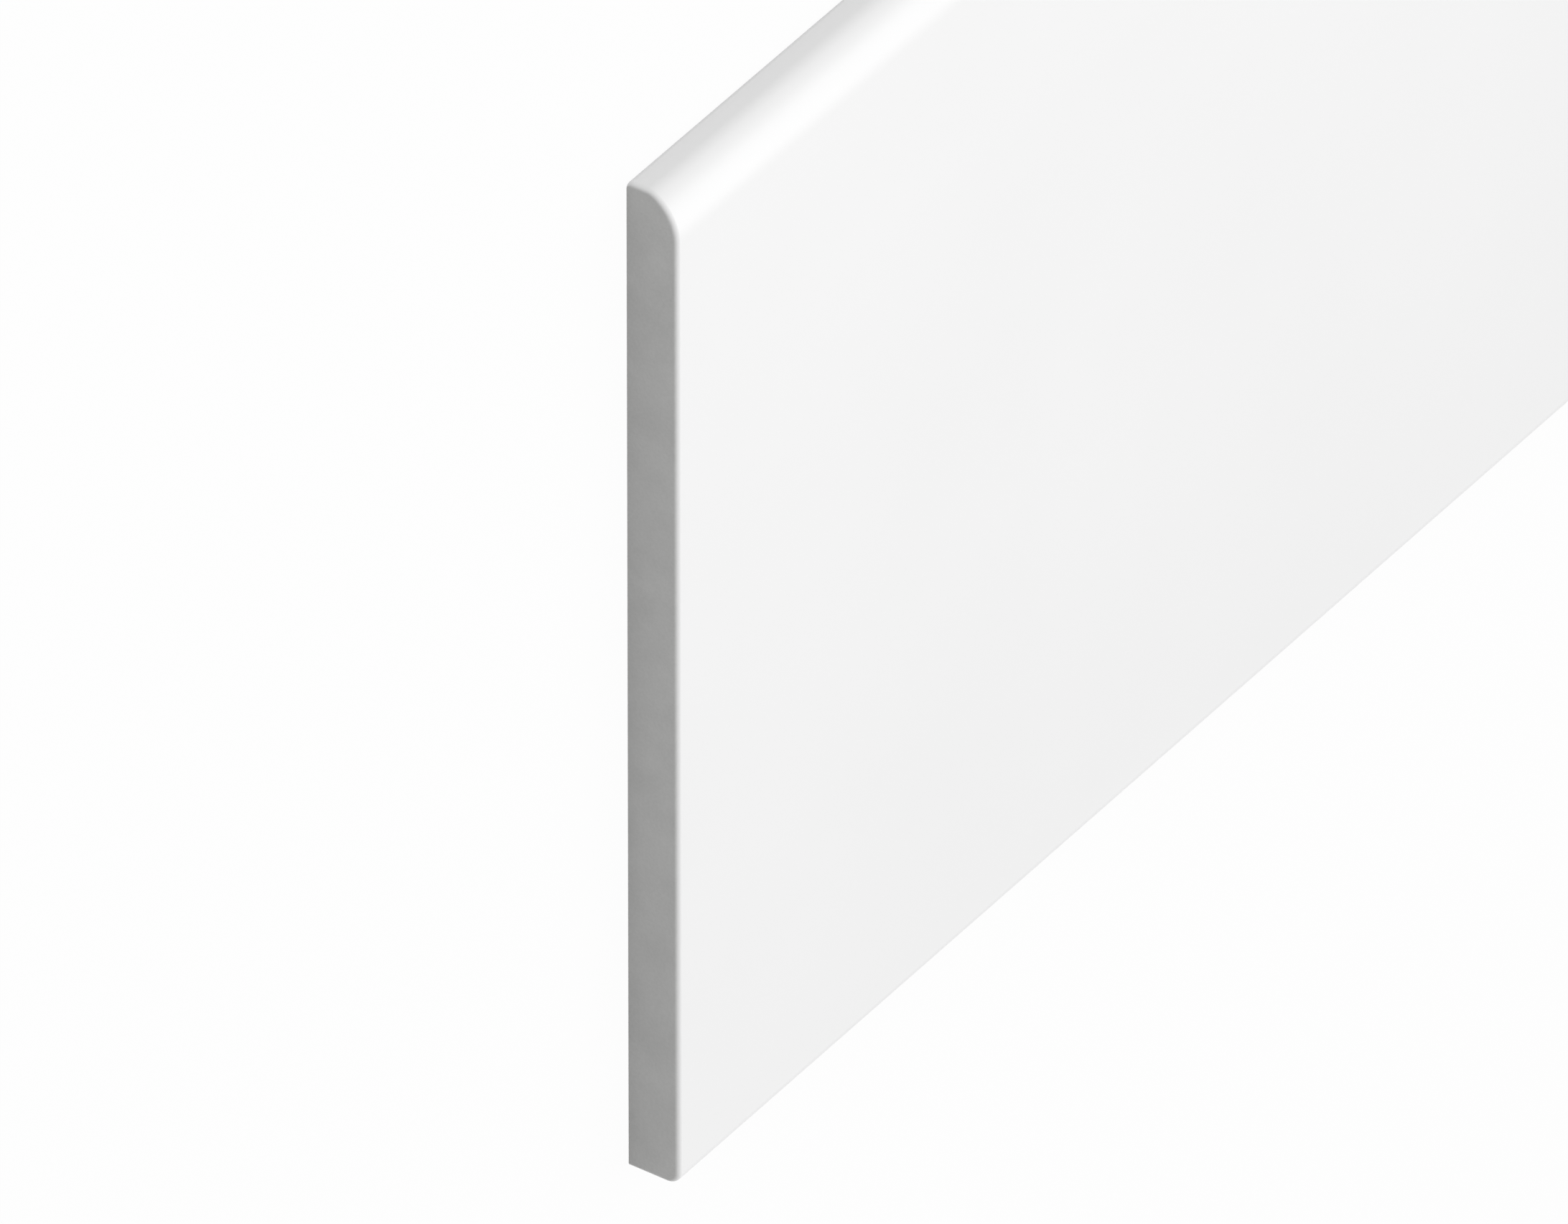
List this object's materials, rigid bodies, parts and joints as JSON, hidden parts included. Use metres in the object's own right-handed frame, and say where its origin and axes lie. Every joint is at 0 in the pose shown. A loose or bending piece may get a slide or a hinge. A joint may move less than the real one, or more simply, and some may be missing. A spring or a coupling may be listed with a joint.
{
  "type": "pvc flat board",
  "caption": "Long flat white cellular PVC board with one rounded long edge, square on the other and saw-cut across its ends.",
  "frame": {"origin": "middle of the back, on the surface that the board lies on", "axes": "+X along the length, away from the cut end that the picture shows; +Y across the width, towards the rounded edge; +Z from the back to the face"},
  "size_m": [2.5, 0.175, 0.009],
  "materials": {
    "white_pvc": "smooth white extruded skin with a low satin sheen, and dull light grey saw cuts across the ends"
  },
  "bodies": {
    "root": {"flat_board": "white_pvc"}
  },
  "joints": []
}
